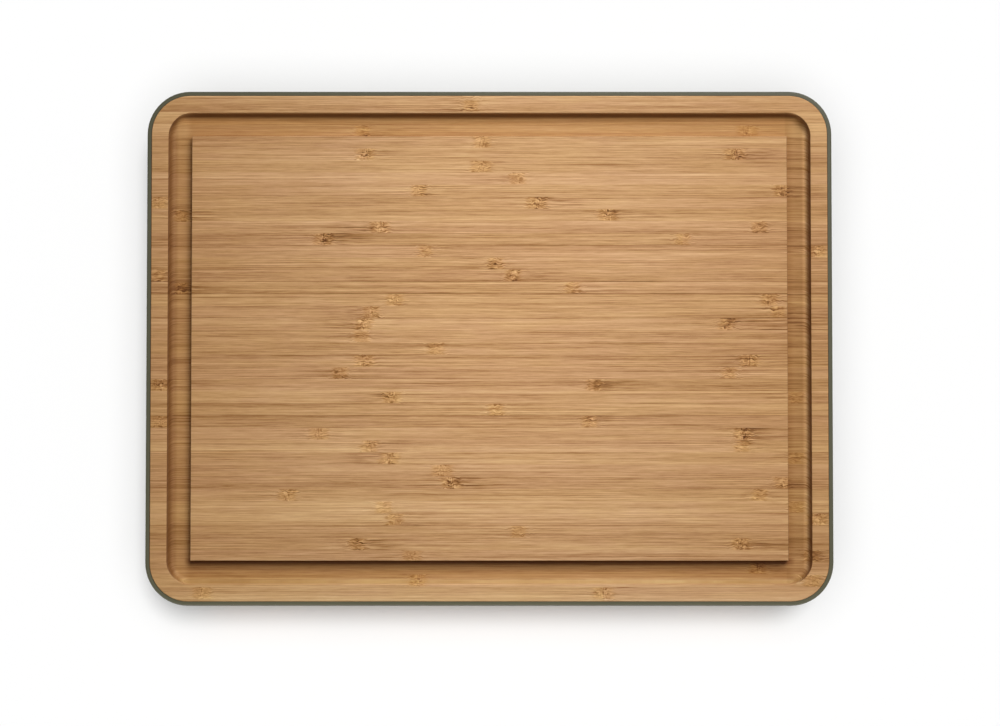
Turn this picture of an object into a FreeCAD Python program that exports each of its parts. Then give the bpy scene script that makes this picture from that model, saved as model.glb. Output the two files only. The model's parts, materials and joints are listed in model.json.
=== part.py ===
# Bamboo cutting board set in a moulded housing, with two drawer trays below it.
#
# Sizes are in millimetres. +X runs along the board, +Y points to the back and +Z points up.
# The origin is at the middle of the footprint, on the surface that the feet stand on.
# The drawers pull out towards -Y.

import FreeCAD
import Part
import os

Vector = FreeCAD.Vector
UP = Vector(0, 0, 1)
TO_FRONT = Vector(0, -1, 0)

# Overall plan
LENGTH = 400.0
DEPTH = 300.0
CORNER_RADIUS = 25.0

# Heights, from the table up
FOOT_HEIGHT = 3.0
BASE_THICKNESS = 3.0
BAY_HEIGHT = 31.0
DECK_THICKNESS = 3.0
BOARD_THICKNESS = 15.0

# Housing
HOUSING_WALL = 2.4
RIM_DROP = 0.4
RIM_ROUND = 0.9
FOOT_EDGE_ROUND = 1.2
CORNER_POST = 5.0
OPENING_CORNER_RADIUS = 3.0
OPENING_EDGE_ROUND = 0.5
BOSS_RADIUS = 4.0
BASE_GAP = 0.2

# Board and juice groove
BOARD_GAP = 0.15
BOARD_EDGE_ROUND = 0.5
GROOVE_INSET = 12.5
GROOVE_WIDTH = 13.7
GROOVE_DEPTH = 5.0
GROOVE_WALL_RUN = 0.6
GROOVE_FLOOR_ROUND = 4.0
GROOVE_EDGE_ROUND = 0.4

# Runners
OUTER_RUNNER_WIDTH = 8.0
CENTRE_RUNNER_WIDTH = 16.0
RUNNER_SETBACK = 1.0
RUNNER_BACK_GAP = 0.5
MOUTH_LENGTH = 8.0
SLOT_END_GAP = 0.6
RUNNING_GAP = 0.35

# Trays
TRAY_WALL = 1.8
TRAY_CORNER_RADIUS = 12.0
TRAY_FLOOR_ROUND = 6.0
TRAY_SIDE_GAP = 0.8
TRAY_FLOOR_GAP = 0.8
TRAY_HEADROOM = 4.0
FLANGE_THICKNESS = 3.0
FLANGE_BITE = 4.2
FLANGE_CORNER_RADIUS = 2.5
TRAY_RIM_ROUND = 0.6
TRAVEL = 190.0
STOP_LENGTH = 12.0
STOP_HEIGHT = 1.2
STOP_GAP = 0.3

# Drawer fronts
FRONT_THICKNESS = 8.0
FRONT_GAP = 0.4
FRONT_EDGE_ROUND = 0.6
NOTCH_WIDTH = 60.0
NOTCH_DEPTH = 14.0

# Rear bumpers
BUMPER_RADIUS = 5.0
BUMPER_THICKNESS = 3.0
BUMPER_SPREAD = 90.0
CLOSED_GAP = 0.3

# Feet
FOOT_RADIUS = 8.0
FOOT_ROUND = 0.8
FOOT_EDGE_DISTANCE = 32.0
FOOT_STEM_RADIUS = 3.5
FOOT_BARB_RADIUS = 4.4
FOOT_BARB_HEIGHT = 3.0
FOOT_STEM_GAP = 0.1

# Screws
SHANK_RADIUS = 1.6
HEAD_RADIUS = 3.2
HEAD_HEIGHT = 1.8
TIP_LENGTH = 1.6
DRIVE_LENGTH = 3.4
DRIVE_WIDTH = 0.9
DRIVE_DEPTH = 1.0
PILOT_GAP = 0.05
BASE_SCREW_BITE = 8.0
RUNNER_SCREW_BITE = 8.0
FRONT_SCREW_BITE = 6.0
FRONT_SCREW_MARGIN = 0.8
BOARD_SCREW_COVER = 2.0

# Places along the depth, as shares of it from the middle
BOSS_SHARES = (-0.30, -0.10, 0.10, 0.30)
BOARD_SCREW_SHARES = (-0.20, 0.20)
RUNNER_SCREW_SHARES = (-0.36, 0.00, 0.36)

# Points no further apart than this count as one place
SAME_PLACE = 0.001

# An edge runs along a direction if at least this share of its length does
PARALLEL_SHARE = 0.999

# Every cut runs past the faces that it opens by this much
OVERRUN = 1.0

# Levels that several pieces share
base_top = FOOT_HEIGHT + BASE_THICKNESS
deck_bottom = base_top + BAY_HEIGHT
deck_top = deck_bottom + DECK_THICKNESS
board_top = deck_top + BOARD_THICKNESS
rim_top = board_top - RIM_DROP
groove_floor = board_top - GROOVE_DEPTH

# Plan lines that several pieces share
front_face = -DEPTH / 2
back_wall = DEPTH / 2 - HOUSING_WALL
inner_half_length = LENGTH / 2 - HOUSING_WALL
opening_half = LENGTH / 2 - CORNER_RADIUS - CORNER_POST
pocket_middle = (opening_half + inner_half_length) / 2
groove_reach = GROOVE_INSET + GROOVE_WIDTH
platform_length = LENGTH - 2 * groove_reach
platform_depth = DEPTH - 2 * groove_reach

# Tray and runner lines, for the right-hand drawer
bay_inner = CENTRE_RUNNER_WIDTH / 2
bay_outer = opening_half - OUTER_RUNNER_WIDTH
drawer_middle = opening_half / 2
tray_width = bay_outer - bay_inner - 2 * TRAY_SIDE_GAP
tray_middle = (bay_inner + bay_outer) / 2
tray_front = front_face + FRONT_THICKNESS
tray_back = back_wall - BUMPER_THICKNESS - CLOSED_GAP
tray_bottom = base_top + TRAY_FLOOR_GAP
tray_top = deck_bottom - TRAY_HEADROOM
flange_bottom = tray_top - FLANGE_THICKNESS
slot_depth = FLANGE_BITE + SLOT_END_GAP
slot_bottom = flange_bottom - RUNNING_GAP
mouth_top = tray_top + RUNNING_GAP
slot_top = mouth_top + STOP_HEIGHT
runner_front = tray_front + RUNNER_SETBACK
runner_back = back_wall - RUNNER_BACK_GAP
mouth_back = runner_front + MOUTH_LENGTH
stop_front = mouth_back + STOP_GAP + TRAVEL
front_bottom = base_top + FRONT_GAP
front_top = deck_bottom - FRONT_GAP
front_width = opening_half - 2 * FRONT_GAP

# Places of the fastenings and feet
boss_places = [(side * pocket_middle, share * DEPTH) for side in (-1, 1) for share in BOSS_SHARES]
board_screw_places = [
    (side * pocket_middle, share * DEPTH) for side in (-1, 0, 1) for share in BOARD_SCREW_SHARES
]
outer_runner_middle = opening_half - OUTER_RUNNER_WIDTH / 2
runner_screw_places = [
    (side * outer_runner_middle, share * DEPTH) for side in (-1, 0, 1) for share in RUNNER_SCREW_SHARES
]
head_room = HEAD_RADIUS + FRONT_SCREW_MARGIN
front_screw_offset = (NOTCH_WIDTH / 2 + tray_width / 2 - TRAY_CORNER_RADIUS) / 2
front_screw_levels = (tray_bottom + TRAY_FLOOR_ROUND + head_room, tray_top - head_room)
front_screw_places = [
    (tray_middle + side * front_screw_offset, level) for side in (-1, 1) for level in front_screw_levels
]
foot_across = pocket_middle
foot_along = DEPTH / 2 - FOOT_EDGE_DISTANCE


def block(x_low, x_high, y_low, y_high, z_low, z_high):
    """A plain block between six planes."""
    return Part.makeBox(x_high - x_low, y_high - y_low, z_high - z_low, Vector(x_low, y_low, z_low))


def rounded_outline(length, depth, radius, level):
    """The closed outline of a rectangle with round corners, centred on the Z axis."""
    corner_x = length / 2 - radius
    corner_y = depth / 2 - radius
    corners = [(corner_x, corner_y), (-corner_x, corner_y), (-corner_x, -corner_y), (corner_x, -corner_y)]
    arcs = []
    for quarter, (x, y) in enumerate(corners):
        arcs.append(Part.makeCircle(radius, Vector(x, y, level), UP, 90 * quarter, 90 * (quarter + 1)))
    edges = []
    for here, following in zip(arcs, arcs[1:] + arcs[:1]):
        edges.append(here)
        edges.append(Part.makeLine(here.Vertexes[-1].Point, following.Vertexes[0].Point))
    return Part.Wire(edges)


def rounded_block(length, depth, radius, z_low, z_high):
    """A block with round upright edges, centred on the Z axis."""
    return Part.Face(rounded_outline(length, depth, radius, z_low)).extrude(UP * (z_high - z_low))


def edges_at(shape, level, keep=lambda middle: True):
    """The straight edges that lie flat at a level and whose middle points pass the test.

    A rounding that starts on them carries on round the corners that they run into smoothly.
    """
    found = []
    for edge in shape.Edges:
        box = edge.BoundBox
        flat = max(abs(box.ZMin - level), abs(box.ZMax - level)) < SAME_PLACE
        if flat and edge.Curve.TypeId == "Part::GeomLine" and keep(edge.CenterOfMass):
            found.append(edge)
    return found


def edges_along(shape, direction):
    """The straight edges that run along a direction."""
    straight = [edge for edge in shape.Edges if edge.Curve.TypeId == "Part::GeomLine"]
    return [edge for edge in straight if abs(edge.Curve.Direction.dot(direction)) > PARALLEL_SHARE]


def edges_on_front(shape):
    """The edges that lie in the front face."""
    return [edge for edge in shape.Edges if abs(edge.BoundBox.YMax - front_face) < SAME_PLACE]


def outside(length, depth):
    """A test for points that lie outside a rectangle centred on the Z axis."""
    return lambda point: abs(point.x) > length / 2 or abs(point.y) > depth / 2


def inside(length, depth):
    """A test for points that lie inside a rectangle centred on the Z axis."""
    return lambda point: abs(point.x) < length / 2 and abs(point.y) < depth / 2


def holes(places, radius, z_low, z_high):
    """Upright round cutters at the places given."""
    return [Part.makeCylinder(radius, z_high - z_low, Vector(x, y, z_low), UP) for x, y in places]


def countersinks(places, level):
    """Cutters for flush screw heads that enter upwards from a level."""
    flare = HEAD_RADIUS - SHANK_RADIUS
    wide = HEAD_RADIUS + PILOT_GAP
    narrow = wide - flare
    return [Part.makeCone(wide, narrow, HEAD_HEIGHT, Vector(x, y, level), UP) for x, y in places]


def turned(profile):
    """A solid turned round the Z axis from (radius, level) points."""
    wire = Part.makePolygon([Vector(radius, 0, level) for radius, level in profile + profile[:1]])
    return Part.Face(wire).revolve(Vector(0, 0, 0), UP, 360)


def with_drive(screw):
    """Cut the cross-shaped drive into the underside of a screw's head."""
    long_half = DRIVE_LENGTH / 2
    short_half = DRIVE_WIDTH / 2
    first = block(-long_half, long_half, -short_half, short_half, -OVERRUN, DRIVE_DEPTH)
    second = block(-short_half, short_half, -long_half, long_half, -OVERRUN, DRIVE_DEPTH)
    return screw.cut(first.fuse(second))


def flush_screw(length):
    """A countersunk screw with its head at the origin, pointing up."""
    profile = [
        (0, 0),
        (HEAD_RADIUS, 0),
        (SHANK_RADIUS, HEAD_HEIGHT),
        (SHANK_RADIUS, length - TIP_LENGTH),
        (0, length),
    ]
    return with_drive(turned(profile))


def flat_head_screw(length):
    """A screw whose head stands on the surface, with the head's seat at one head height, pointing up."""
    profile = [
        (0, 0),
        (HEAD_RADIUS, 0),
        (HEAD_RADIUS, HEAD_HEIGHT),
        (SHANK_RADIUS, HEAD_HEIGHT),
        (SHANK_RADIUS, HEAD_HEIGHT + length - TIP_LENGTH),
        (0, HEAD_HEIGHT + length),
    ]
    return with_drive(turned(profile))


def screws_at(places, level, length):
    """Flush screws that enter upwards at the places given."""
    found = []
    for x, y in places:
        screw = flush_screw(length)
        screw.translate(Vector(x, y, level))
        found.append(screw)
    return Part.makeCompound(found)


# The board: a bamboo panel with a groove round a square-cornered platform

board_screw_length = DECK_THICKNESS + BOARD_THICKNESS - GROOVE_DEPTH - BOARD_SCREW_COVER


def groove_outline(level):
    """The groove's outer outline, which leans inwards on its way down."""
    lean = GROOVE_WALL_RUN * (board_top - level) / GROOVE_DEPTH
    inset = GROOVE_INSET + lean
    return rounded_outline(LENGTH - 2 * inset, DEPTH - 2 * inset, GROOVE_WIDTH - lean, level)


def make_board():
    edge = HOUSING_WALL + BOARD_GAP
    board = rounded_block(LENGTH - 2 * edge, DEPTH - 2 * edge, CORNER_RADIUS - edge, deck_top, board_top)
    pocket = Part.makeLoft([groove_outline(groove_floor), groove_outline(board_top + OVERRUN)], True, True)
    half_length = platform_length / 2
    half_depth = platform_depth / 2
    platform = block(-half_length, half_length, -half_depth, half_depth, deck_top, board_top + 2 * OVERRUN)
    board = board.cut(pocket.cut(platform))
    floor_middle = outside(platform_length + GROOVE_WIDTH, platform_depth + GROOVE_WIDTH)
    board = board.makeFillet(GROOVE_FLOOR_ROUND, edges_at(board, groove_floor, floor_middle))
    rim_line = outside(LENGTH - GROOVE_INSET, DEPTH - GROOVE_INSET)
    board = board.makeFillet(BOARD_EDGE_ROUND, edges_at(board, board_top, rim_line))
    groove_lips = inside(LENGTH - GROOVE_INSET, DEPTH - GROOVE_INSET)
    board = board.makeFillet(GROOVE_EDGE_ROUND, edges_at(board, board_top, groove_lips))
    tip = deck_bottom + board_screw_length
    pilots = holes(board_screw_places, SHANK_RADIUS + PILOT_GAP, deck_top - OVERRUN, tip + PILOT_GAP)
    return board.cut(Part.makeCompound(pilots))


# The housing: outer wall, deck under the board, bosses and the front opening


def make_housing():
    inner_depth = DEPTH - 2 * HOUSING_WALL
    inner_radius = CORNER_RADIUS - HOUSING_WALL
    shell = rounded_block(LENGTH, DEPTH, CORNER_RADIUS, FOOT_HEIGHT, rim_top)
    shell = shell.makeFillet(RIM_ROUND, edges_at(shell, rim_top))
    shell = shell.makeFillet(FOOT_EDGE_ROUND, edges_at(shell, FOOT_HEIGHT))
    below = (FOOT_HEIGHT - OVERRUN, deck_bottom)
    above = (deck_top, board_top + OVERRUN)
    for z_low, z_high in (below, above):
        shell = shell.cut(rounded_block(2 * inner_half_length, inner_depth, inner_radius, z_low, z_high))
    wall_back = front_face + HOUSING_WALL
    opening = block(
        -opening_half, opening_half, front_face - OVERRUN, wall_back + OVERRUN, base_top, deck_bottom
    )
    opening = opening.makeFillet(OPENING_CORNER_RADIUS, edges_along(opening, TO_FRONT))
    shell = shell.cut(opening)
    in_opening = [edge for edge in edges_on_front(shell) if base_top <= edge.CenterOfMass.z <= deck_bottom]
    shell = shell.makeFillet(OPENING_EDGE_ROUND, in_opening)
    for boss in holes(boss_places, BOSS_RADIUS, base_top, deck_bottom):
        shell = shell.fuse(boss)
    tip = base_top + BASE_SCREW_BITE
    cutters = holes(boss_places, SHANK_RADIUS + PILOT_GAP, base_top - OVERRUN, tip + PILOT_GAP)
    cutters += holes(board_screw_places, SHANK_RADIUS + PILOT_GAP, deck_bottom - OVERRUN, deck_top + OVERRUN)
    cutters += countersinks(board_screw_places, deck_bottom)
    return shell.cut(Part.makeCompound(cutters)).removeSplitter()


def make_base_plate():
    edge = HOUSING_WALL + BASE_GAP
    plate = rounded_block(LENGTH - 2 * edge, DEPTH - 2 * edge, CORNER_RADIUS - edge, FOOT_HEIGHT, base_top)
    screws = boss_places + runner_screw_places
    stems = [(x, y) for x in (-foot_across, foot_across) for y in (-foot_along, foot_along)]
    through = (FOOT_HEIGHT - OVERRUN, base_top + OVERRUN)
    cutters = holes(screws, SHANK_RADIUS + PILOT_GAP, *through)
    cutters += countersinks(screws, FOOT_HEIGHT)
    cutters += holes(stems, FOOT_STEM_RADIUS + FOOT_STEM_GAP, *through)
    for cutter in cutters:
        plate = plate.cut(cutter)
    return plate


# The runners: posts between base plate and deck, with a slot for the tray's flange


def slot_cutter(face, way):
    """A cutter for a slot that opens at a face and runs from it along X by way times its depth."""
    low, high = sorted((face - way * OVERRUN, face + way * slot_depth))
    long_slot = block(low, high, mouth_back, runner_back + OVERRUN, slot_bottom, slot_top)
    mouth = block(low, high, runner_front - OVERRUN, mouth_back + OVERRUN, slot_bottom, mouth_top)
    return long_slot.fuse(mouth)


def make_runner(x_low, x_high, slots, screw_x):
    runner = block(x_low, x_high, runner_front, runner_back, base_top, deck_bottom)
    for face, way in slots:
        runner = runner.cut(slot_cutter(face, way))
    places = [(screw_x, share * DEPTH) for share in RUNNER_SCREW_SHARES]
    tip = base_top + RUNNER_SCREW_BITE
    pilots = holes(places, SHANK_RADIUS + PILOT_GAP, base_top - OVERRUN, tip + PILOT_GAP)
    return runner.cut(Part.makeCompound(pilots))


# The drawers, built on the right-hand side and then mirrored for the left-hand one


def notch_cutter():
    """A cylinder across the drawer front that leaves a half-moon finger notch in its top edge."""
    half = NOTCH_WIDTH / 2
    radius = (half**2 + NOTCH_DEPTH**2) / (2 * NOTCH_DEPTH)
    start = Vector(drawer_middle, tray_front + TRAY_WALL + OVERRUN, front_top - NOTCH_DEPTH + radius)
    return Part.makeCylinder(radius, FRONT_THICKNESS + TRAY_WALL + 2 * OVERRUN, start, TO_FRONT)


def front_screw_holes():
    """Cutters for the screws that hold the drawer front."""
    length = FRONT_SCREW_BITE + TRAY_WALL + OVERRUN + PILOT_GAP
    cutters = []
    for x, z in front_screw_places:
        start = Vector(x, tray_front + TRAY_WALL + OVERRUN, z)
        cutters.append(Part.makeCylinder(SHANK_RADIUS + PILOT_GAP, length, start, TO_FRONT))
    return Part.makeCompound(cutters)


def make_tray():
    depth = tray_back - tray_front
    middle = Vector(tray_middle, (tray_front + tray_back) / 2, 0)
    body = rounded_block(tray_width, depth, TRAY_CORNER_RADIUS, tray_bottom, tray_top)
    body = body.makeFillet(TRAY_FLOOR_ROUND, edges_at(body, tray_bottom))
    floor = tray_bottom + TRAY_WALL
    inner_radius = TRAY_CORNER_RADIUS - TRAY_WALL
    hollow = rounded_block(
        tray_width - 2 * TRAY_WALL, depth - 2 * TRAY_WALL, inner_radius, floor, tray_top + OVERRUN
    )
    hollow = hollow.makeFillet(TRAY_FLOOR_ROUND - TRAY_WALL, edges_at(hollow, floor))
    flange_reach = tray_width / 2 + TRAY_SIDE_GAP + FLANGE_BITE
    flange_half = depth / 2 - TRAY_CORNER_RADIUS
    flanges = block(-flange_reach, flange_reach, -flange_half, flange_half, flange_bottom, tray_top)
    flanges = flanges.makeFillet(FLANGE_CORNER_RADIUS, edges_along(flanges, UP))
    body = body.fuse(flanges).cut(hollow).removeSplitter()
    body = body.makeFillet(TRAY_RIM_ROUND, edges_at(body, tray_top))
    body.translate(middle)
    for side in (-1, 1):
        tip = tray_middle + side * flange_reach
        root = tip - side * FLANGE_BITE
        low, high = sorted((tip, root))
        top = tray_top + STOP_HEIGHT
        body = body.fuse(block(low, high, stop_front, stop_front + STOP_LENGTH, flange_bottom, top))
    return body.cut(notch_cutter()).cut(front_screw_holes()).removeSplitter()


def make_front():
    x_low = FRONT_GAP
    panel = block(x_low, x_low + front_width, front_face, tray_front, front_bottom, front_top)
    outer_corners = [edge for edge in edges_along(panel, TO_FRONT) if edge.CenterOfMass.x > drawer_middle]
    panel = panel.makeFillet(OPENING_CORNER_RADIUS - FRONT_GAP, outer_corners)
    panel = panel.cut(notch_cutter())
    panel = panel.makeFillet(FRONT_EDGE_ROUND, edges_on_front(panel))
    return panel.cut(front_screw_holes())


def make_front_screws():
    found = []
    for x, z in front_screw_places:
        screw = flat_head_screw(TRAY_WALL + FRONT_SCREW_BITE)
        screw.rotate(Vector(0, 0, 0), Vector(1, 0, 0), 90)
        screw.translate(Vector(x, tray_front + TRAY_WALL + HEAD_HEIGHT, z))
        found.append(screw)
    return Part.makeCompound(found)


# The soft pieces


def make_foot(x, y):
    profile = [
        (0, 0),
        (FOOT_RADIUS - FOOT_ROUND, 0),
        (FOOT_RADIUS, FOOT_ROUND),
        (FOOT_RADIUS, FOOT_HEIGHT),
        (FOOT_STEM_RADIUS, FOOT_HEIGHT),
        (FOOT_STEM_RADIUS, base_top),
        (FOOT_BARB_RADIUS, base_top),
        (FOOT_STEM_RADIUS, base_top + FOOT_BARB_HEIGHT),
        (0, base_top + FOOT_BARB_HEIGHT),
    ]
    foot = turned(profile)
    foot.translate(Vector(x, y, 0))
    return foot


def make_bumpers():
    level = (tray_bottom + tray_top) / 2
    found = []
    for drawer in (-tray_middle, tray_middle):
        for side in (-1, 1):
            start = Vector(drawer + side * BUMPER_SPREAD / 2, back_wall, level)
            found.append(Part.makeCylinder(BUMPER_RADIUS, BUMPER_THICKNESS, start, TO_FRONT))
    return Part.makeCompound(found)


# All pieces by name

nodes = {
    "cutting_board": make_board(),
    "housing_shell": make_housing(),
    "base_plate": make_base_plate(),
    "left_runner": make_runner(-opening_half, -bay_outer, [(-bay_outer, -1)], -outer_runner_middle),
    "centre_runner": make_runner(-bay_inner, bay_inner, [(-bay_inner, 1), (bay_inner, -1)], 0),
    "right_runner": make_runner(bay_outer, opening_half, [(bay_outer, 1)], outer_runner_middle),
    "foot_front_left": make_foot(-foot_across, -foot_along),
    "foot_front_right": make_foot(foot_across, -foot_along),
    "foot_back_left": make_foot(-foot_across, foot_along),
    "foot_back_right": make_foot(foot_across, foot_along),
    "board_screws": screws_at(board_screw_places, deck_bottom, board_screw_length),
    "base_screws": screws_at(boss_places, FOOT_HEIGHT, BASE_THICKNESS + BASE_SCREW_BITE),
    "runner_screws": screws_at(runner_screw_places, FOOT_HEIGHT, BASE_THICKNESS + RUNNER_SCREW_BITE),
    "rear_bumpers": make_bumpers(),
    "right_tray": make_tray(),
    "right_front": make_front(),
    "right_front_screws": make_front_screws(),
}

# The left-hand drawer mirrors the right-hand one
for piece in ("tray", "front", "front_screws"):
    nodes["left_" + piece] = nodes["right_" + piece].mirror(Vector(0, 0, 0), Vector(1, 0, 0))

os.makedirs("parts", exist_ok=True)
for name, shape in nodes.items():
    shape.exportStep("parts/" + name + ".step")
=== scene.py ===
import json
import math
from collections import namedtuple

import bmesh
import bpy
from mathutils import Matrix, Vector


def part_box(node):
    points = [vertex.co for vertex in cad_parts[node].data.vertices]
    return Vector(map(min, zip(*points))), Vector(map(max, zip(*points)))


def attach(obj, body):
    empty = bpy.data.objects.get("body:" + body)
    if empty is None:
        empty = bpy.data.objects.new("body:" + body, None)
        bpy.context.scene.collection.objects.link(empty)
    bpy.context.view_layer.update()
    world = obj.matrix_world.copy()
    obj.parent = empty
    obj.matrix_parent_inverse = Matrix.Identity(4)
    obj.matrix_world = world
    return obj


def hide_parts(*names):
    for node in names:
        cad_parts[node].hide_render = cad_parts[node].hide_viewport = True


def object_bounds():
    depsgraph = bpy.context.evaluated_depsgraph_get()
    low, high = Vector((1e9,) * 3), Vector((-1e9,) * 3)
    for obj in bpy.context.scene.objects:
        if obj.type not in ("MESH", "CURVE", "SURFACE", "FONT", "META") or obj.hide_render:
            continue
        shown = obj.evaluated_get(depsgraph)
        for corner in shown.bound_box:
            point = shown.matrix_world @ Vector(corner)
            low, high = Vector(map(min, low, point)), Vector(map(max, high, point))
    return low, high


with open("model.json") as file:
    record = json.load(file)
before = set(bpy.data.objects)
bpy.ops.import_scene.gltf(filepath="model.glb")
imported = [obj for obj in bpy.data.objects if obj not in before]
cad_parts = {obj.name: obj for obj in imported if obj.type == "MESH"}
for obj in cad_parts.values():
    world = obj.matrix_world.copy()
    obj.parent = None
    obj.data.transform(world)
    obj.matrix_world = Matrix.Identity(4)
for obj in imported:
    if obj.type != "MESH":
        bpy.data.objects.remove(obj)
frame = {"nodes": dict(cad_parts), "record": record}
CAD_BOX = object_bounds()
BOARD_TOP = CAD_BOX[1][2]
BOARD_MIDDLE = (0.0, 0.0, BOARD_TOP)
MM = 0.001
Y_AXIS = 1
Z_AXIS = 2

# The photograph's frame, and where the board's outline lies in it
IMAGE_WIDTH = 1000
IMAGE_HEIGHT = 726
OUTLINE_MIDDLE_COLUMN = 489.4
OUTLINE_MIDDLE_ROW = 347.7
PIXELS_PER_METRE = 1717.0

# Camera
CAMERA_DISTANCE = 1.30
CAMERA_TILT = math.radians(2.0)
SENSOR_WIDTH = 36.0

# Light on the object: a soft box and a spot behind it, a low card in front, and a card for the plastic rim
BOX_PLACE = (0.76, 1.28, 1.85)
BOX_SIZE = 1.82
BOX_POWER = 57.0
SPOT_PLACE = (0.14, 1.10, 0.95)
SPOT_AIM = (0.017, 0.025, 0.055)
SPOT_CONE = math.radians(11.5)
SPOT_RADIUS = 0.14
SPOT_POWER = 72.0
CARD_PLACE = (0.0, -1.4, 0.22)
CARD_SIZE = (1.6, 0.24)
CARD_POWER = 3.0
RIM_CARD_PLACE = (0.0, -0.90, 0.80)
RIM_CARD_SIZE = (1.4, 0.5)
RIM_CARD_POWER = 16.0
FILL_STRENGTH = 0.10

# Light on the floor: a narrow and a wide soft sun, as width, slope towards the light and strength
FLOOR_SUNS = (
    (math.radians(17), (0.124, 0.205), 1.52),
    (math.radians(64), (0.000, -0.025), 2.14),
)
FLOOR_SIZE = 8.0
FLOOR_COLOUR = (0.80, 0.80, 0.80, 1.0)

# Bamboo strips of the board in millimetres, counted from the back, where a cut-off strip is left over
STRIP_WIDTH = 7.1
FIRST_STRIP_INSET = 2.4

# Strips that look paler or darker than the rest, and the glue joints that show as dark lines
# Strip 2, along the back groove, is paler partly as painted light on that groove's floor, and strip 37, at
# the platform's front edge, darker partly as painted shadow there
PALEST_STRIPS = (1, 2, 33, 34, 39, 40)
PALE_STRIPS = (6, 9, 12, 18, 24, 27, 28, 29, 32)
DARK_STRIPS = (0, 11, 14, 17, 19, 20, 21, 22, 23, 26, 31, 35, 36, 37)
DARK_JOINTS = (12, 15, 16, 18, 25, 26, 34, 35)
PALEST_TONE = 0.120
PALE_TONE = 0.040
DARK_TONE = -0.045

# Columns of the photograph where the knuckles of each strip show, as read off it
KNUCKLE_COLUMNS = (
    (471,), (), (362, 750), (482,), (365, 736), (481,), (517,), (419, 783), (158, 537), (179, 608),
    (380, 760), (323, 683), (424, 817), (496,), (158, 513), (180, 573), (395, 770), (371, 778), (364, 727),
    (361,), (436,), (365, 750), (341, 730), (160, 594), (392, 797), (496,), (159, 589), (319, 743),
    (370, 742), (390, 797), (442,), (451, 782), (288, 759), (384, 797), (395, 817), (519,), (357, 740),
    (412, 811), (758,), (418, 811), (203, 603),
)

# The gap in columns on a strip that shows one knuckle, and a column and gap that put knuckles off the board
SINGLE_KNUCKLE_GAP = 640
NO_KNUCKLE = (1500, 3000)

# Looks of the drawer fronts, with each knuckle as shares of the front's width: the first one, and the gap
FRONT_TONES = {1: PALE_TONE, 2: DARK_TONE}
FRONT_JOINTS = (2,)
FRONT_KNUCKLE_SHARES = {
    "left_front": ((0.18, 1.60), (0.74, 1.40), (0.33, 1.50), (0.88, 1.30)),
    "right_front": ((0.62, 1.50), (0.12, 1.40), (0.81, 1.60), (0.36, 1.50)),
}

# How strips are cut from a node's mesh, and how sharp a bend has to be to show as an edge
WELD_DISTANCE = 0.001 * MM
CUT_TOLERANCE = 0.0001 * MM
SHARP_ANGLE = math.radians(30)


def srgb(red, green, blue):
    """A colour written as it looks on a screen, as the linear colour that a shader takes."""
    steps = [level / 255 for level in (red, green, blue)]
    linear = [s / 12.92 if s <= 0.04045 else ((s + 0.055) / 1.055) ** 2.4 for s in steps]
    return (*linear, 1.0)


class Signal:
    """A number that varies over a surface, so that sums of shader nodes read as plain sums."""

    def __init__(self, graph, socket):
        self.graph = graph
        self.socket = socket

    def __add__(self, other):
        return self.graph.math("ADD", self, other)

    def __sub__(self, other):
        return self.graph.math("SUBTRACT", self, other)

    def __rsub__(self, other):
        return self.graph.math("SUBTRACT", other, self)

    def __mul__(self, other):
        return self.graph.math("MULTIPLY", self, other)

    def __truediv__(self, other):
        return self.graph.math("DIVIDE", self, other)

    def __abs__(self):
        return self.graph.math("ABSOLUTE", self)

    __radd__ = __add__
    __rmul__ = __mul__


# A Mix node's sockets for colours, which share their names with its sockets for other data
MIX_AMOUNT = 0
MIX_FIRST = 6
MIX_SECOND = 7
MIX_RESULT = 2


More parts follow.
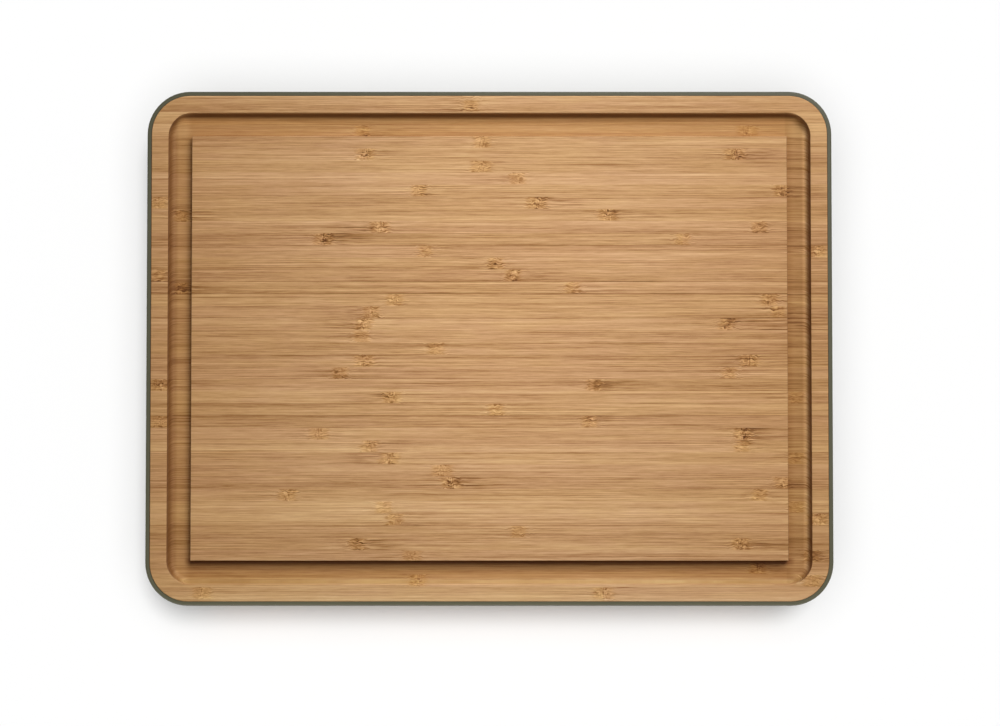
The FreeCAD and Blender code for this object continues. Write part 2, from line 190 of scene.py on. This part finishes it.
class Graph:
    """One material's node tree, with short calls for the nodes that the materials here use."""

    def __init__(self, name):
        self.material = bpy.data.materials.new(name)
        self.material.use_nodes = True
        self.tree = self.material.node_tree
        self.tree.nodes.clear()

    @classmethod
    def of_tree(cls, tree):
        """The same calls for a node tree that isn't a material's."""
        made = cls.__new__(cls)
        made.tree = tree
        tree.nodes.clear()
        return made

    def put(self, socket, value):
        if isinstance(value, Signal):
            self.tree.links.new(value.socket, socket)
        else:
            socket.default_value = value

    def node(self, kind, inputs=None, **settings):
        made = self.tree.nodes.new("ShaderNode" + kind)
        for name, value in settings.items():
            setattr(made, name, value)
        for name, value in (inputs or {}).items():
            self.put(made.inputs[name], value)
        return made

    def out(self, node, name):
        return Signal(self, node.outputs[name])

    def math(self, operation, *values):
        made = self.node("Math", operation=operation)
        for socket, value in zip(made.inputs, values):
            self.put(socket, value)
        return self.out(made, "Value")

    def fade(self, value, start, end, low=0.0, high=1.0):
        """A smooth step from low to high as the value goes from start to end."""
        inputs = {"Value": value, "From Min": start, "From Max": end, "To Min": low, "To Max": high}
        return self.out(self.node("MapRange", inputs, interpolation_type="SMOOTHSTEP"), "Result")

    def attribute(self, name):
        return self.out(self.node("Attribute", attribute_name=name), "Fac")

    def split(self, socket):
        """The three parts of a vector."""
        parts = self.node("SeparateXYZ")
        self.tree.links.new(socket, parts.inputs[0])
        return [self.out(parts, axis) for axis in "XYZ"]

    def place(self):
        """The surface point in millimetres, as three signals."""
        point = self.node("TexCoord").outputs["Object"]
        scaled = self.node("VectorMath", operation="SCALE")
        self.tree.links.new(point, scaled.inputs[0])
        scaled.inputs["Scale"].default_value = 1 / MM
        return self.split(scaled.outputs[0])

    def facing(self):
        """The surface's direction, as three signals."""
        return self.split(self.node("NewGeometry").outputs["Normal"])

    def vector(self, x, y, z):
        return self.out(self.node("CombineXYZ", {"X": x, "Y": y, "Z": z}), "Vector")

    def noise(self, x, y, z, detail=2.0, roughness=0.5):
        """Soft noise about zero, with features about one unit across."""
        inputs = {"Vector": self.vector(x, y, z), "Scale": 1.0, "Detail": detail, "Roughness": roughness}
        return self.out(self.node("TexNoise", inputs), "Fac") - 0.5

    def chance(self, x, y):
        """Three random numbers from 0 to 1 that stay the same for the same x and y."""
        made = self.node("TexWhiteNoise", {"Vector": self.vector(x, y, 0.0)}, noise_dimensions="2D")
        parts = self.node("SeparateColor")
        self.tree.links.new(made.outputs["Color"], parts.inputs[0])
        return [self.out(parts, name) for name in ("Red", "Green", "Blue")]

    def ramp(self, value, stops):
        """A colour that runs through the stops, given as (place, colour)."""
        made = self.node("ValToRGB", {"Fac": value})
        elements = made.color_ramp.elements
        while len(elements) < len(stops):
            elements.new(1.0)
        for element, (place, colour) in zip(elements, stops):
            element.position = place
            element.color = colour
        return self.out(made, "Color")

    def mix(self, amount, first, second, blend="MIX"):
        made = self.node("Mix", data_type="RGBA", blend_type=blend)
        self.put(made.inputs[MIX_AMOUNT], amount)
        self.put(made.inputs[MIX_FIRST], first)
        self.put(made.inputs[MIX_SECOND], second)
        return Signal(self, made.outputs[MIX_RESULT])

    def tint(self, amount, colour, tint):
        """The colour multiplied by a tint of red, green and blue, as far as the amount says."""
        return self.mix(amount, colour, (*tint, 1.0), "MULTIPLY")

    def bump(self, height, distance, strength):
        made = self.node("Bump", {"Height": height, "Distance": distance, "Strength": strength})
        return self.out(made, "Normal")

    def surface(self, **inputs):
        """Finish with one principled shader, and return the material."""
        shader = self.node("BsdfPrincipled")
        for name, value in inputs.items():
            self.put(shader.inputs[name.replace("_", " ").title().replace("Ior", "IOR")], value)
        output = self.node("OutputMaterial")
        self.tree.links.new(shader.outputs[0], output.inputs["Surface"])
        return self.material


# Bamboo: strips with their own tone, long fibres and, at each knuckle, a patch of curled fibres

# Below, lengths are in millimetres, and a pair is where something starts to show and where it shows fully

# A kind of grain: how long and wide its streaks are, its own slice of the noise, and how broken they are
Grain = namedtuple("Grain", "length width slice detail roughness", defaults=(2.0, 0.5))

# Layers of fibres: length and thickness, how uneven each is along its length, and its strength
FIBRE_LAYERS = (
    (14.0, 0.40, 0.60, 0.45),
    (110.0, 0.45, 0.75, 1.00),
    (220.0, 0.90, 0.60, 0.26),
    (400.0, 1.80, 0.45, 0.12),
    (500.0, 3.60, 0.35, 0.34),
)
FIBRE_DETAIL = 4.0
FIBRE_RELIEF = 0.02 * MM
FIBRE_RELIEF_STRENGTH = 0.5
FIBRE_ROUGHNESS = 0.56
FIBRE_SHEEN = 0.25
BAMBOO_GLOSS = 0.18

# Steps and shifts that keep the noise of one strip, fibre or layer apart from the next one's
STRIP_SEED_STEP = 7.3
FIBRE_SEED_STEP = 3.7
LAYER_SEED_STEP = 19.0
STRIP_SHIFT = 700.0
FIBRE_SHIFT = 9.0

# Step and start of the random numbers of each strip, each stretch between two knuckles, and each knuckle
STRIP_SERIES = (1.7, 3.1)
STRETCH_SERIES = (2.3, 0.7)
KNUCKLE_SERIES = (3.1, 5.3)

# Fibres drift a little, weave and crowd close to a knuckle, and lean on their way down into the board
DRIFT = Grain(length=90.0, width=6.0, slice=8.0)
DRIFT_AMOUNT = 0.05
WEAVE = Grain(length=4.0, width=2.6, slice=3.0, detail=1.0)
WEAVE_AMOUNT = 3.6
WEAVE_REACH = (11.0, 2.0)
CROWD_AMOUNT = 0.4
CROWD_REACH = (26.0, 4.0)
LEAN_WITH_DEPTH = 0.9

# Slow changes of tone over the board, from strip to strip, from stretch to stretch and across a strip
MIDDLE_TONE = 0.5
CLOUD = Grain(length=130.0, width=26.0, slice=4.0)
CLOUD_TONE = 0.05
STRIP_TONE_SPREAD = 0.02
STRETCH_TONE_SPREAD = 0.06
LEAN_TONE_SPREAD = 0.10

# Dark lines along the glue joints, at shares of half a strip's width, where 1 is the joint
JOINT = Grain(length=60.0, width=1.0, slice=7.0)
JOINT_LINE = (0.78, 0.98)
JOINT_MARKED = 0.6
JOINT_UNEVEN = 1.6
JOINT_SHOWS = (0.10, 1.00)
JOINT_TONE = 0.22
BACK_HALF = (-0.01, 0.01)

# Smoky streaks beside a knuckle, on its left for three in ten and on its right for the rest
TRAIL = Grain(length=16.0, width=0.85, slice=101.0, detail=1.0)
TRAIL_SIDE = (0.29, 0.31)
TRAIL_START = (-40.0, -6.0)
TRAIL_END = (4.0, -1.0)
TRAIL_SHOWS = (-0.10, 0.14)
TRAIL_TONE = 0.24

# A knuckle: short wavy strokes with ragged ends and, in the larger ones, a scar across
RAGGED_SLICE = 17.0
RAGGED_LENGTH = 7.0
KNUCKLE_LEAST = 4.4
KNUCKLE_SPREAD = 2.6
KNUCKLE_EDGE = (1.15, 0.55)
KNUCKLE_SIDES = (1.05, 0.80)
STROKES = Grain(length=4.2, width=0.75, slice=21.0, detail=1.5, roughness=0.6)
STROKE_TONE = 1.30
SCAR = Grain(length=0.9, width=2.2, slice=33.0, detail=1.0)
SCAR_EDGE = (0.50, 0.15)
SCAR_SIZES = (0.1, 0.6)
SCAR_TONE = 1.4
MARK_SHIFT = -0.05
LIGHTEST_MARK = 0.20
MARK_LEAST = 0.5
MARK_SPREAD = 0.6
MARK_RELIEF = 0.5

# Bamboo's colours from the darkest fibre to the lightest
BAMBOO_STOPS = (
    (0.00, srgb(92, 52, 22)),
    (0.25, srgb(150, 105, 62)),
    (0.50, srgb(190, 147, 103)),
    (0.75, srgb(213, 173, 128)),
    (1.00, srgb(234, 203, 160)),
)

# Knuckles lean to ochre, and stretches of a strip lean to pink or to yellow
OCHRE_TINT = (1.00, 0.95, 0.80)
OCHRE_AMOUNT = 0.9
PINK_TINT = (1.00, 0.985, 1.00)
YELLOW_TINT = (1.00, 1.005, 0.93)
HUE = Grain(length=30.0, width=5.0, slice=55.0, detail=1.0)
HUE_SPREAD = 0.5
HUE_RANGE = (-0.35, 0.35)

# End grain, which shows where a surface faces along the strips
END_GRAIN_COLOUR = srgb(104, 62, 28)
END_GRAIN_FACING = (0.15, 0.90)
END_GRAIN_AMOUNT = 0.7

# The groove's place on the board, from its middle, and the tints of its parts: the floor's is partly oil and
# partly painted shade, the others are painted shade and painted light
PLATFORM_HALF_LENGTH = 173.8
PLATFORM_HALF_DEPTH = 123.8
GROOVE_HALF_LENGTH = 187.5
GROOVE_HALF_DEPTH = 137.5
# Painted shade: the board's two ends are tinted warmer and darker, where the light falls off towards them
BOARD_END_REACH = (70.0, 200.0)
BOARD_END_SHADE_TINT = (1.00, 0.955, 0.88)
SUNK_DEPTH = (-0.6, -4.0)
# The groove's floor is darker and warmer, partly as routed wood holding more oil and partly as painted shade
# from its walls
FLOOR_TINT = (0.85, 0.80, 0.675)
# Painted shade on the floor of the right groove, from the platform's edge out to the right wall
RIGHT_FLOOR_START = 1.0
RIGHT_FLOOR_TINT = (0.91, 0.90, 0.87)
# Painted shade: the groove darker within this run of the platform's left and right feet, and along the back
# and front grooves
FOOT_RUN = 5.0
FOOT_TINT = (0.84, 0.78, 0.70)
# Painted shadow along the foot of the platform's front wall, reaching this far in front of it and this far
# behind its edge
FRONT_FOOT_RUN = 4.0
FRONT_FOOT_BACK_RUN = 2.0
FRONT_FOOT_SHADOW_TINT = (0.58, 0.42, 0.32)
# Painted light: the right outer wall is lightened, and the floor's tint is left off it
RIGHT_WALL_RUN = (5.0, 2.0)
RIGHT_WALL_LIGHT_TINT = (1.35, 1.42, 1.45)
# Painted light on the cove at the back of the groove
BACK_COVE_RUN = (7.0, 5.0)
BACK_COVE_LIGHT_TINT = (1.20, 1.18, 1.16)
# Painted shadow of the groove's back wall, close to the wall
BACK_WALL_RUN = (3.2, 1.6)
BACK_WALL_SHADOW_TINT = (0.48, 0.42, 0.38)
# Painted shade on the groove's left outer wall
LEFT_WALL_RUN = (6.0, 3.0)
LEFT_WALL_SHADE_TINT = (0.74, 0.68, 0.62)
# Painted light: the groove's front outer wall and cove are paler and brighter
FRONT_WALL_RUN = (4.5, 1.5)
FRONT_WALL_LIGHT_TINT = (1.00, 1.12, 1.18)


class Bamboo:
    """The looks of bamboo strips that run along X and lie side by side across it, with a show face."""

    def __init__(self, graph, across_axis, strip_width, face):
        self.graph = graph
        place = graph.place()
        self.along = place[0]
        self.across = place[across_axis]
        self.depth = place[Y_AXIS + Z_AXIS - across_axis] - face
        self.strip = graph.attribute("strip")
        self.seed = self.strip * STRIP_SEED_STEP
        self.offset = (self.across - graph.attribute("strip_middle")) / (strip_width / 2)

        from_first = self.along - graph.attribute("knuckle_at")
        gap = graph.attribute("knuckle_gap")
        stretch = graph.math("FLOOR", from_first / gap)
        nearest = graph.math("ROUND", from_first / gap)
        self.from_knuckle = from_first - nearest * gap
        self.distance = abs(self.from_knuckle)
        self.tone_chance, self.lean_chance, self.shift_chance = self.chances(STRIP_SERIES, 0.0)
        self.stretch_chance, self.hue_chance, _ = self.chances(STRETCH_SERIES, stretch)
        self.side_chance, self.strength_chance, self.size_chance = self.chances(KNUCKLE_SERIES, nearest)

        # Where a point lies among the fibres
        weave = self.grain(WEAVE, self.along, self.across) * graph.fade(self.distance, *WEAVE_REACH)
        sway = weave * WEAVE_AMOUNT + self.grain(DRIFT, self.along, self.across) * DRIFT_AMOUNT
        self.bent = self.across + self.depth * LEAN_WITH_DEPTH + sway
        self.shifted = self.along + self.shift_chance * STRIP_SHIFT

    def chances(self, series, number):
        """Three random numbers for this strip and a whole number along it."""
        step, start = series
        return self.graph.chance(self.strip * step + start, number + 0.5)

    def grain(self, kind, along, across, seed=0.0):
        """One kind of grain, about zero."""
        place = (along / kind.length, across / kind.width, seed + kind.slice)
        return self.graph.noise(*place, kind.detail, kind.roughness)

    def fibres(self):
        """Fine streaks in several lengths and thicknesses, about zero."""
        total = 0.0
        for number, (length, thickness, uneven, strength) in enumerate(FIBRE_LAYERS):
            fibre = self.graph.math("FLOOR", self.bent / thickness + self.shift_chance * FIBRE_SHIFT)
            seed = self.seed + number * LAYER_SEED_STEP
            place = (self.shifted / length, fibre * FIBRE_SEED_STEP, seed)
            streak = self.graph.noise(*place, FIBRE_DETAIL, uneven)
            total = total + streak * strength
        return total

    def plain_tone(self, fibres):
        """How light the wood is away from joints and knuckles."""
        crowd = self.graph.fade(self.distance, *CROWD_REACH) * CROWD_AMOUNT + 1.0
        tone = fibres * crowd + self.grain(CLOUD, self.along, self.across) * CLOUD_TONE + MIDDLE_TONE
        tone = tone + self.graph.attribute("strip_tone")
        tone = tone + (self.tone_chance - 0.5) * STRIP_TONE_SPREAD
        tone = tone + (self.stretch_chance - 0.5) * STRETCH_TONE_SPREAD
        return tone + self.offset * (self.lean_chance - 0.5) * LEAN_TONE_SPREAD

    def joint_lines(self):
        """How much darker the wood is at a glue joint, along a thin line that comes and goes."""
        g = self.graph
        is_back = g.fade(self.offset, *BACK_HALF)
        marked = g.attribute("back_joint") * is_back + g.attribute("front_joint") * (1.0 - is_back)
        uneven = self.grain(JOINT, self.along, self.strip + is_back)
        shows = g.fade(marked * JOINT_MARKED + uneven * JOINT_UNEVEN, *JOINT_SHOWS)
        return g.fade(abs(self.offset), *JOINT_LINE) * shows * JOINT_TONE

    def trails(self):
        """How much darker the wood is in the smoky streaks beside a knuckle."""
        g = self.graph
        side = g.fade(self.side_chance, *TRAIL_SIDE, 1.0, -1.0) * self.from_knuckle
        reach = g.fade(side, *TRAIL_START) * g.fade(side, *TRAIL_END)
        streaks = g.fade(self.grain(TRAIL, self.shifted, self.bent, self.seed), *TRAIL_SHOWS)
        return reach * streaks * self.strength_chance * TRAIL_TONE

    def knuckles(self):
        """Where knuckles are, from 0 to 1, and the light and dark marks in them."""
        g = self.graph
        ragged = g.noise(self.across, self.seed, RAGGED_SLICE, detail=1.0) * RAGGED_LENGTH
        size = self.size_chance * KNUCKLE_SPREAD + KNUCKLE_LEAST
        reach = abs(self.from_knuckle + ragged) / size
        core = g.fade(reach, *KNUCKLE_EDGE) * g.fade(abs(self.offset), *KNUCKLE_SIDES)
        strokes = self.grain(STROKES, self.along, self.bent) * STROKE_TONE
        scar = self.grain(SCAR, self.along, self.bent) * g.fade(reach, *SCAR_EDGE) * SCAR_TONE
        marks = strokes + scar * g.fade(self.size_chance, *SCAR_SIZES) + MARK_SHIFT
        return core, g.math("MINIMUM", marks, LIGHTEST_MARK)

    def hued(self, colour):
        """The colour with some stretches pinker and some yellower."""
        g = self.graph
        hue = self.grain(HUE, self.shifted, self.bent, self.seed) + (self.hue_chance - 0.5) * HUE_SPREAD
        pink = g.tint(1.0, colour, PINK_TINT)
        yellow = g.tint(1.0, colour, YELLOW_TINT)
        return g.mix(g.fade(hue, *HUE_RANGE), pink, yellow)

    def oil_and_painted_light(self, colour):
        """The colour with painted shade towards the board's two ends, and the groove tinted: its floor
        partly for oil and partly with painted shade, its walls and feet with painted shade and painted
        light.
        """
        g = self.graph

        def near_wall(place, half, run):
            """One at the groove's outer edge, and zero further in than the run."""
            far, near = run
            return g.fade(place, half - far, half - near)

        from_middle = abs(self.along)
        to_left = self.along * -1.0
        to_front = self.across * -1.0
        right_wall = near_wall(self.along, GROOVE_HALF_LENGTH, RIGHT_WALL_RUN)
        right_start = PLATFORM_HALF_LENGTH - RIGHT_FLOOR_START
        right_floor = g.fade(self.along, right_start, PLATFORM_HALF_LENGTH) * (1.0 - right_wall)
        foot = g.fade(from_middle, PLATFORM_HALF_LENGTH + FOOT_RUN, PLATFORM_HALF_LENGTH)
        ahead = g.fade(to_front, PLATFORM_HALF_DEPTH + FRONT_FOOT_RUN, PLATFORM_HALF_DEPTH)
        behind = g.fade(to_front, PLATFORM_HALF_DEPTH - FRONT_FOOT_BACK_RUN, PLATFORM_HALF_DEPTH)
        # Painted shade and painted light in the groove's parts; the first, the floor's tint, is partly oil
        parts = (
            (1.0 - right_wall, FLOOR_TINT),
            (foot, FOOT_TINT),
            (right_floor, RIGHT_FLOOR_TINT),
            (right_wall, RIGHT_WALL_LIGHT_TINT),
            (near_wall(self.across, GROOVE_HALF_DEPTH, BACK_COVE_RUN), BACK_COVE_LIGHT_TINT),
            (near_wall(self.across, GROOVE_HALF_DEPTH, BACK_WALL_RUN), BACK_WALL_SHADOW_TINT),
            (near_wall(to_left, GROOVE_HALF_LENGTH, LEFT_WALL_RUN), LEFT_WALL_SHADE_TINT),
            (near_wall(to_front, GROOVE_HALF_DEPTH, FRONT_WALL_RUN), FRONT_WALL_LIGHT_TINT),
            (ahead * behind * foot, FRONT_FOOT_SHADOW_TINT),
        )
        # Painted shade towards the board's two ends
        colour = g.tint(g.fade(from_middle, *BOARD_END_REACH), colour, BOARD_END_SHADE_TINT)
        sunk = g.fade(self.depth, *SUNK_DEPTH)
        for amount, tint in parts:
            colour = g.tint(amount * sunk, colour, tint)
        return colour

    def end_grained(self, colour):
        """The colour with darker end grain."""
        g = self.graph
        shows = g.fade(abs(g.facing()[0]), *END_GRAIN_FACING)
        return g.mix(shows * END_GRAIN_AMOUNT, colour, END_GRAIN_COLOUR)


def bamboo(name, strips, face, has_groove):
    """Bamboo for a piece cut into strips, with its show face at the given height or depth in metres."""
    g = Graph(name)
    wood = Bamboo(g, strips.axis, strips.width / MM, face / MM)
    fibres = wood.fibres()
    core, marks = wood.knuckles()
    tone = wood.plain_tone(fibres) - wood.joint_lines() - wood.trails()
    tone = tone + core * marks * (wood.strength_chance * MARK_SPREAD + MARK_LEAST)
    colour = g.ramp(tone, BAMBOO_STOPS)
    colour = g.tint(core * OCHRE_AMOUNT, colour, OCHRE_TINT)
    colour = wood.hued(colour)
    # On the board, painted shade at its two ends, and painted shade and painted light in the groove
    if has_groove:
        colour = wood.oil_and_painted_light(colour)
    return g.surface(
        base_color=wood.end_grained(colour),
        roughness=FIBRE_ROUGHNESS - fibres * FIBRE_SHEEN,
        specular_ior_level=BAMBOO_GLOSS,
        normal=g.bump(fibres + core * marks * MARK_RELIEF, FIBRE_RELIEF, FIBRE_RELIEF_STRENGTH),
    )


# How a piece is cut into strips, in metres: the axis across them, their start and width, and their looks
Strips = namedtuple("Strips", "axis edge width knuckles tones joints")
STRIP_NOTES = (
    "strip",
    "strip_middle",
    "strip_tone",
    "back_joint",
    "front_joint",
    "knuckle_at",
    "knuckle_gap",
)


def strip_notes(strips, number):
    """What the material has to know about a strip, in the order of STRIP_NOTES."""
    middle = strips.edge - (number + 0.5) * strips.width
    first, gap = strips.knuckles[number]
    joints = (float(number in strips.joints), float(number + 1 in strips.joints))
    return (number, middle / MM, strips.tones.get(number, 0.0), *joints, first / MM, gap / MM)


def strip_mesh(node, strips):
    """Copy a node's mesh, cut it at the glue joints and write each strip's notes on its faces."""
    mesh = frame["nodes"][node].data.copy()
    mesh.name = node + "_strips"
    mesh.materials.clear()
    bm = bmesh.new()
    bm.from_mesh(mesh)
    bmesh.ops.remove_doubles(bm, verts=bm.verts, dist=WELD_DISTANCE)
    direction = Vector([float(axis == strips.axis) for axis in range(3)])
    for number in range(1, len(strips.knuckles)):
        geometry = bm.verts[:] + bm.edges[:] + bm.faces[:]
        line = direction * (strips.edge - number * strips.width)
        bmesh.ops.bisect_plane(bm, geom=geometry, dist=CUT_TOLERANCE, plane_co=line, plane_no=direction)
    layers = [bm.faces.layers.float.new(name) for name in STRIP_NOTES]
    for face in bm.faces:
        face.smooth = True
        number = int((strips.edge - face.calc_center_median()[strips.axis]) / strips.width)
        number = min(max(number, 0), len(strips.knuckles) - 1)
        for layer, value in zip(layers, strip_notes(strips, number)):
            face[layer] = value
    for bend in bm.edges:
        bend.smooth = bend.calc_face_angle(math.pi) < SHARP_ANGLE
    bm.to_mesh(mesh)
    bm.free()
    return mesh


def bamboo_piece(node, body, material, strips):
    """Put a strip-cut copy in a bamboo node's place."""
    mesh = strip_mesh(node, strips)
    mesh.materials.append(material)
    piece = bpy.data.objects.new(node + "_bamboo", mesh)
    bpy.context.scene.collection.objects.link(piece)
    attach(piece, body)
    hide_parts(node)


def from_columns(columns):
    """A strip's first knuckle and knuckle spacing along X, from the photograph's columns."""
    if not columns:
        first, gap = NO_KNUCKLE
    elif len(columns) == 1:
        first, gap = columns[0], SINGLE_KNUCKLE_GAP
    else:
        first, gap = columns[0], columns[1] - columns[0]
    return (first - OUTLINE_MIDDLE_COLUMN) / PIXELS_PER_METRE, gap / PIXELS_PER_METRE


def make_board():
    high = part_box("cutting_board")[1]
    edge = high[1] - FIRST_STRIP_INSET * MM
    knuckles = [from_columns(columns) for columns in KNUCKLE_COLUMNS]
    groups = ((PALEST_STRIPS, PALEST_TONE), (PALE_STRIPS, PALE_TONE), (DARK_STRIPS, DARK_TONE))
    tones = {number: tone for numbers, tone in groups for number in numbers}
    strips = Strips(Y_AXIS, edge, STRIP_WIDTH * MM, knuckles, tones, DARK_JOINTS)
    material = bamboo("bamboo_board", strips, high[2], True)
    bamboo_piece("cutting_board", "housing", material, strips)


def make_drawer_fronts():
    for node, shares in FRONT_KNUCKLE_SHARES.items():
        low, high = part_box(node)
        width = high[0] - low[0]
        strip_width = (high[2] - low[2]) / len(shares)
        knuckles = [(low[0] + first * width, gap * width) for first, gap in shares]
        strips = Strips(Z_AXIS, high[2], strip_width, knuckles, FRONT_TONES, FRONT_JOINTS)
        material = bamboo("bamboo_" + node, strips, low[1], False)
        bamboo_piece(node, node.replace("front", "drawer"), material, strips)


# Moulded and metal materials for the nodes that keep their own shape

# A moulded skin: its colours and roughness, its pits' size in millimetres and depth in metres, and its gloss
Moulding = namedtuple("Moulding", "dark light roughness pit_size pit_depth gloss", defaults=(0.5,))
OLIVE = (srgb(54, 53, 36), srgb(66, 64, 45))
CREAM = (srgb(222, 219, 206), srgb(232, 229, 218))
NATURAL = (srgb(196, 193, 182), srgb(210, 207, 197))
GREY = (srgb(46, 46, 42), srgb(60, 59, 54))
MOULDINGS = {
    "housing_plastic": Moulding(*OLIVE, roughness=0.42, pit_size=0.55, pit_depth=0.00003, gloss=0.3),
    "base_plastic": Moulding(*OLIVE, roughness=0.55, pit_size=0.70, pit_depth=0.00005, gloss=0.3),
    "tray_plastic": Moulding(*CREAM, roughness=0.50, pit_size=0.80, pit_depth=0.00002),
    "runner_plastic": Moulding(*NATURAL, roughness=0.45, pit_size=0.60, pit_depth=0.00002),
    "silicone": Moulding(*GREY, roughness=0.66, pit_size=0.35, pit_depth=0.00003),
}

# What all moulded skins share: a slow drift of colour over this many millimetres, and fine uneven pits
SKIN_DRIFT = 45.0
SKIN_DRIFT_DETAIL = 3.0
SKIN_DRIFT_TONE = 0.6
SKIN_DRIFT_ROUGHNESS = 0.10
PIT_UNEVEN = 0.6
PIT_TONE = 0.5
PIT_ROUGHNESS = 0.12
PIT_STRENGTH = 0.6
DARKEST_SKIN = 0.20
LIGHTEST_SKIN = 0.80

# Turning marks on steel: their size along each axis in millimetres, and their looks
TURNING_SIZE = (0.12, 1.4, 0.4)
TURNING_STOPS = ((0.2, srgb(158, 158, 156)), (0.8, srgb(196, 196, 193)))
TURNING_DEPTH = 0.00002
TURNING_STRENGTH = 0.4
TURNING_ROUGHNESS = 0.25
STEEL_ROUGHNESS = 0.34


def moulded(name, skin):
    """Moulded plastic or rubber: a finely pitted skin with a slow drift of colour."""
    g = Graph(name)
    place = g.place()
    drift = g.noise(*[part / SKIN_DRIFT for part in place], detail=SKIN_DRIFT_DETAIL)
    pits = g.noise(*[part / skin.pit_size for part in place], roughness=PIT_UNEVEN)
    tone = drift * SKIN_DRIFT_TONE + pits * PIT_TONE + 0.5
    return g.surface(
        base_color=g.ramp(tone, ((DARKEST_SKIN, skin.dark), (LIGHTEST_SKIN, skin.light))),
        roughness=skin.roughness + drift * SKIN_DRIFT_ROUGHNESS - pits * PIT_ROUGHNESS,
        specular_ior_level=skin.gloss,
        normal=g.bump(pits, skin.pit_depth, PIT_STRENGTH),
    )


def steel(name):
    """Plain stainless steel with fine turning marks."""
    g = Graph(name)
    marks = g.noise(*[part / size for part, size in zip(g.place(), TURNING_SIZE)])
    return g.surface(
        base_color=g.ramp(marks + 0.5, TURNING_STOPS),
        metallic=1.0,
        roughness=STEEL_ROUGHNESS + marks * TURNING_ROUGHNESS,
        normal=g.bump(marks, TURNING_DEPTH, TURNING_STRENGTH),
    )


def dress_nodes():
    """Give each node that keeps its own shape its material."""
    finishes = {name: moulded(name, skin) for name, skin in MOULDINGS.items()}
    finishes["screw_steel"] = steel("screw_steel")
    for part in frame["record"]["subparts"]:
        finish = finishes.get(part["material_slot"])
        if finish:
            mesh = frame["nodes"][part["node"]].data
            for index in range(len(mesh.materials)):
                mesh.materials[index] = finish


# The stage: white floor, soft light from the back, and the camera above


def seen_by_eye(g):
    """One for camera, glossy and transmission rays, which see a white background, and zero for others."""
    rays = g.node("LightPath")
    seen = g.math("MAXIMUM", g.out(rays, "Is Camera Ray"), g.out(rays, "Is Glossy Ray"))
    return g.math("MAXIMUM", seen, g.out(rays, "Is Transmission Ray"))


def make_floor():
    mesh = bpy.data.meshes.new("floor")
    half = FLOOR_SIZE / 2
    corners = [(-half, -half, 0), (half, -half, 0), (half, half, 0), (-half, half, 0)]
    mesh.from_pydata(corners, [], [(0, 1, 2, 3)])
    g = Graph("floor_white")
    paper = g.node("BsdfDiffuse", {"Color": FLOOR_COLOUR})
    output = g.node("OutputMaterial")
    g.tree.links.new(paper.outputs[0], output.inputs["Surface"])
    mesh.materials.append(g.material)
    floor = bpy.data.objects.new("floor", mesh)
    bpy.context.scene.collection.objects.link(floor)
    return floor


def make_world():
    world = bpy.data.worlds.new("studio")
    world.use_nodes = True
    bpy.context.scene.world = world
    g = Graph.of_tree(world.node_tree)
    strength = g.fade(seen_by_eye(g), 0.0, 1.0, FILL_STRENGTH, 1.0)
    background = g.node("Background", {"Color": (1.0, 1.0, 1.0, 1.0), "Strength": strength})
    output = g.node("OutputWorld")
    g.tree.links.new(background.outputs[0], output.inputs["Surface"])


def make_lamp(name, kind, place, aim, **settings):
    light = bpy.data.lights.new(name, kind)
    for setting, value in settings.items():
        setattr(light, setting, value)
    lamp = bpy.data.objects.new(name, light)
    lamp.location = place
    lamp.rotation_euler = (Vector(aim) - Vector(place)).to_track_quat("-Z", "Y").to_euler()
    lamp.visible_camera = False
    bpy.context.scene.collection.objects.link(lamp)
    return lamp


def make_card(name, place, size, power):
    """A flat rectangular lamp that faces the board."""
    card = make_lamp(name, "AREA", place, BOARD_MIDDLE, energy=power, shape="RECTANGLE")
    card.data.size, card.data.size_y = size
    return card


def link_light(lamp, receiver, state):
    """Let a lamp light the receiver alone, or everything but the receiver."""
    group = bpy.data.collections.new(lamp.name + "_receivers")
    group.objects.link(receiver)
    group.collection_objects[0].light_linking.link_state = state
    lamp.light_linking.receiver_collection = group


def make_lights(floor):
    """The lamps on the object leave the floor alone, and the floor's own lamps leave the object alone."""
    box = make_lamp("soft_box", "AREA", BOX_PLACE, BOARD_MIDDLE, energy=BOX_POWER, shape="DISK")
    box.data.size = BOX_SIZE
    spot = make_lamp("spot", "SPOT", SPOT_PLACE, SPOT_AIM, energy=SPOT_POWER, shadow_soft_size=SPOT_RADIUS)
    spot.data.spot_size = SPOT_CONE
    spot.data.spot_blend = 1.0
    card = make_card("card", CARD_PLACE, CARD_SIZE, CARD_POWER)
    for lamp in (box, spot, card):
        link_light(lamp, floor, "EXCLUDE")
    rim_card = make_card("rim_card", RIM_CARD_PLACE, RIM_CARD_SIZE, RIM_CARD_POWER)
    link_light(rim_card, frame["nodes"]["housing_shell"], "INCLUDE")
    for number, (width, slope, strength) in enumerate(FLOOR_SUNS):
        sun = make_lamp(f"floor_sun_{number}", "SUN", (*slope, 1.0), (0, 0, 0), energy=strength, angle=width)
        link_light(sun, floor, "INCLUDE")


def make_camera():
    camera = bpy.data.cameras.new("camera")
    camera.sensor_width = SENSOR_WIDTH
    camera.lens = PIXELS_PER_METRE * CAMERA_DISTANCE * SENSOR_WIDTH / IMAGE_WIDTH
    aim_x = (IMAGE_WIDTH / 2 - OUTLINE_MIDDLE_COLUMN) / PIXELS_PER_METRE
    aim_y = -(IMAGE_HEIGHT / 2 - OUTLINE_MIDDLE_ROW) / PIXELS_PER_METRE
    aim = Vector((aim_x, aim_y, BOARD_TOP))
    back = Vector((0.0, -math.sin(CAMERA_TILT), math.cos(CAMERA_TILT)))
    holder = bpy.data.objects.new("camera", camera)
    holder.location = aim + back * CAMERA_DISTANCE
    holder.rotation_euler = (CAMERA_TILT, 0.0, 0.0)
    bpy.context.scene.collection.objects.link(holder)
    bpy.context.scene.camera = holder


make_board()
make_drawer_fronts()
dress_nodes()
make_world()
make_lights(make_floor())
make_camera()
bpy.context.scene.view_settings.view_transform = "Standard"
